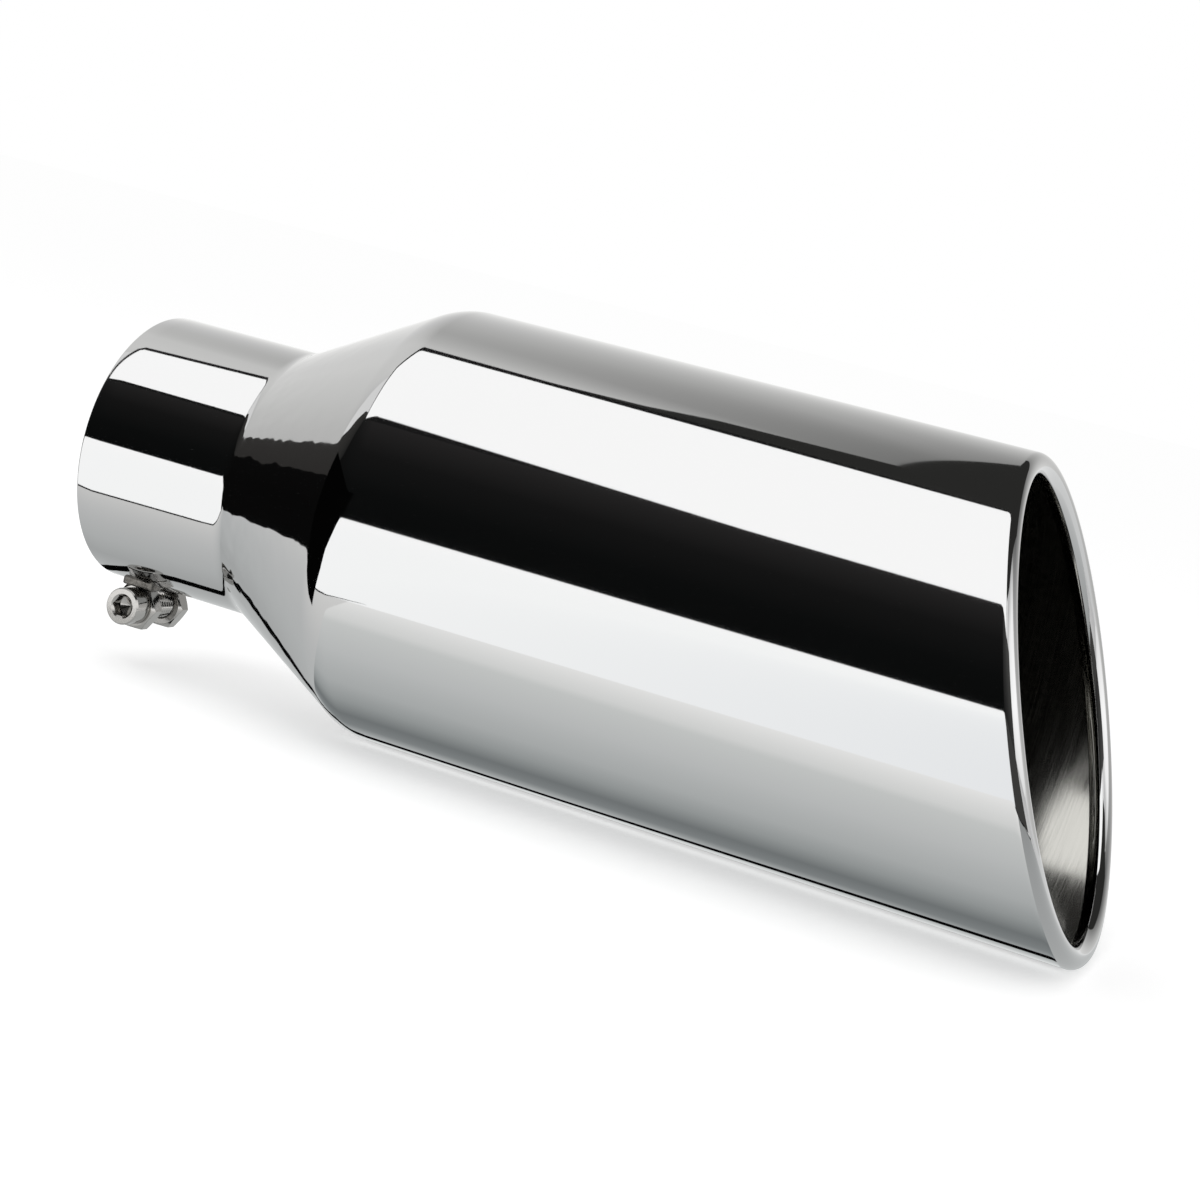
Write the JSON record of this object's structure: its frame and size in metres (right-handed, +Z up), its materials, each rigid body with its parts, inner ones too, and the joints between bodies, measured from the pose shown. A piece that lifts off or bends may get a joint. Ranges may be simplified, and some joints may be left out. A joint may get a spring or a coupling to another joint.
{
  "type": "exhaust tip",
  "caption": "Slant-cut exhaust tip: a clamp-on inlet sleeve widens through a cone into a mirror-polished barrel with a rolled lip.",
  "frame": {"origin": "centre of the inlet sleeve's end face, on the tube's axis", "axes": "+X along the tube's axis from the inlet to the slant-cut outlet, +Z up to the outlet's short side, so the clamp screw and the outlet's long side are below; the screw's head faces -Y"},
  "size_m": [0.305, 0.127, 0.127],
  "materials": {
    "polished_stainless": "mirror-polished stainless steel sheet outside, brushed satin inside",
    "fastener_steel": "bright machined stainless steel",
    "weld_metal": "dull, slightly darkened weld metal"
  },
  "bodies": {
    "root": {"tip_shell": "polished_stainless", "head_side_nut": "fastener_steel", "tapped_nut": "fastener_steel", "clamp_screw": "fastener_steel", "head_side_weld": "weld_metal", "tapped_weld": "weld_metal"}
  },
  "joints": []
}
